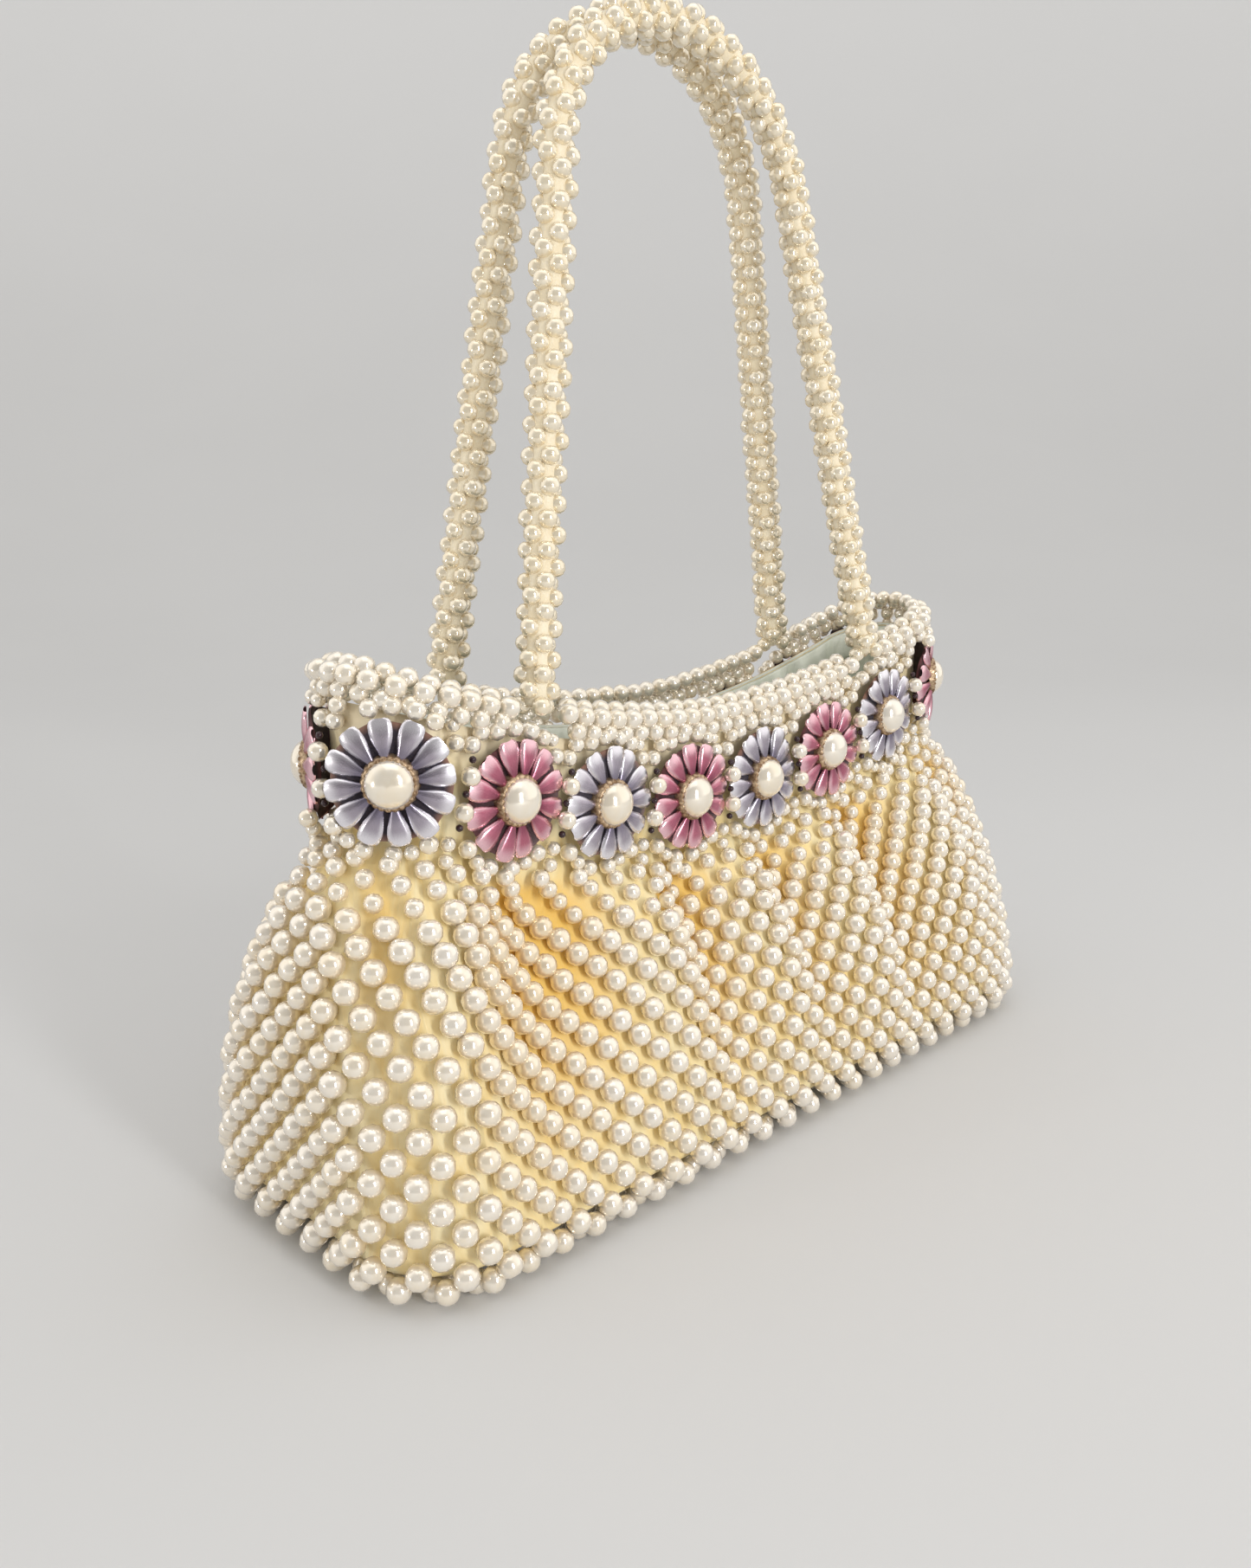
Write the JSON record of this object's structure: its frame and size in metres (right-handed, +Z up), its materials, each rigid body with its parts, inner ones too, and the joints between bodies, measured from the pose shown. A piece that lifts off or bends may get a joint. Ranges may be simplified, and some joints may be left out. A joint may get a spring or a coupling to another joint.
{
  "type": "pearl bead handbag",
  "caption": "Flared handbag of woven imitation pearls with a satin lining, a band of metal daisies at its mouth and two beaded handles that fold outwards.",
  "frame": {"origin": "on the ground under the middle of the bag", "axes": "+X along the bag to the right, -Y out of the front, +Z up"},
  "size_m": [0.278, 0.108, 0.3097],
  "materials": {
    "body_pearl": "pearl lustre",
    "band_pearl": "pearl lustre",
    "handle_pearl": "pearl lustre",
    "satin": "satin weave",
    "petal_lilac": "satin metallic",
    "petal_pink": "satin metallic",
    "setting": "aged",
    "felt": "felt",
    "dark_seed": "gloss"
  },
  "bodies": {
    "bag": {"woven_front": "body_pearl", "woven_back": "body_pearl", "woven_left_end": "body_pearl", "woven_right_end": "body_pearl", "woven_base": "body_pearl", "net_front": "band_pearl", "net_back": "band_pearl", "net_left_end": "band_pearl", "net_right_end": "band_pearl", "lining_wall": "satin", "lining_base": "satin", "lining_hem": "satin", "rim_pearls": "band_pearl", "second_row_pearls": "band_pearl", "link_pearls": "band_pearl", "link_seeds": "dark_seed", "daisy_felts": "felt", "daisy_settings": "setting", "daisy_centres": "band_pearl", "lilac_petals": "petal_lilac", "pink_petals": "petal_pink"},
    "front_handle": {"front_handle_arch": "handle_pearl", "front_handle_left_leg": "handle_pearl", "front_handle_right_leg": "handle_pearl"},
    "rear_handle": {"rear_handle_arch": "handle_pearl", "rear_handle_left_leg": "handle_pearl", "rear_handle_right_leg": "handle_pearl"}
  },
  "joints": [
    {"name": "front_handle_hinge", "type": "hinge", "parent": "bag", "child": "front_handle", "pos_m": [0, -0.019, 0.12986], "axis": [1, 0, 0], "range_deg": [0, 115]},
    {"name": "rear_handle_hinge", "type": "hinge", "parent": "bag", "child": "rear_handle", "pos_m": [0, 0.019, 0.12986], "axis": [-1, 0, 0], "range_deg": [0, 115]}
  ]
}
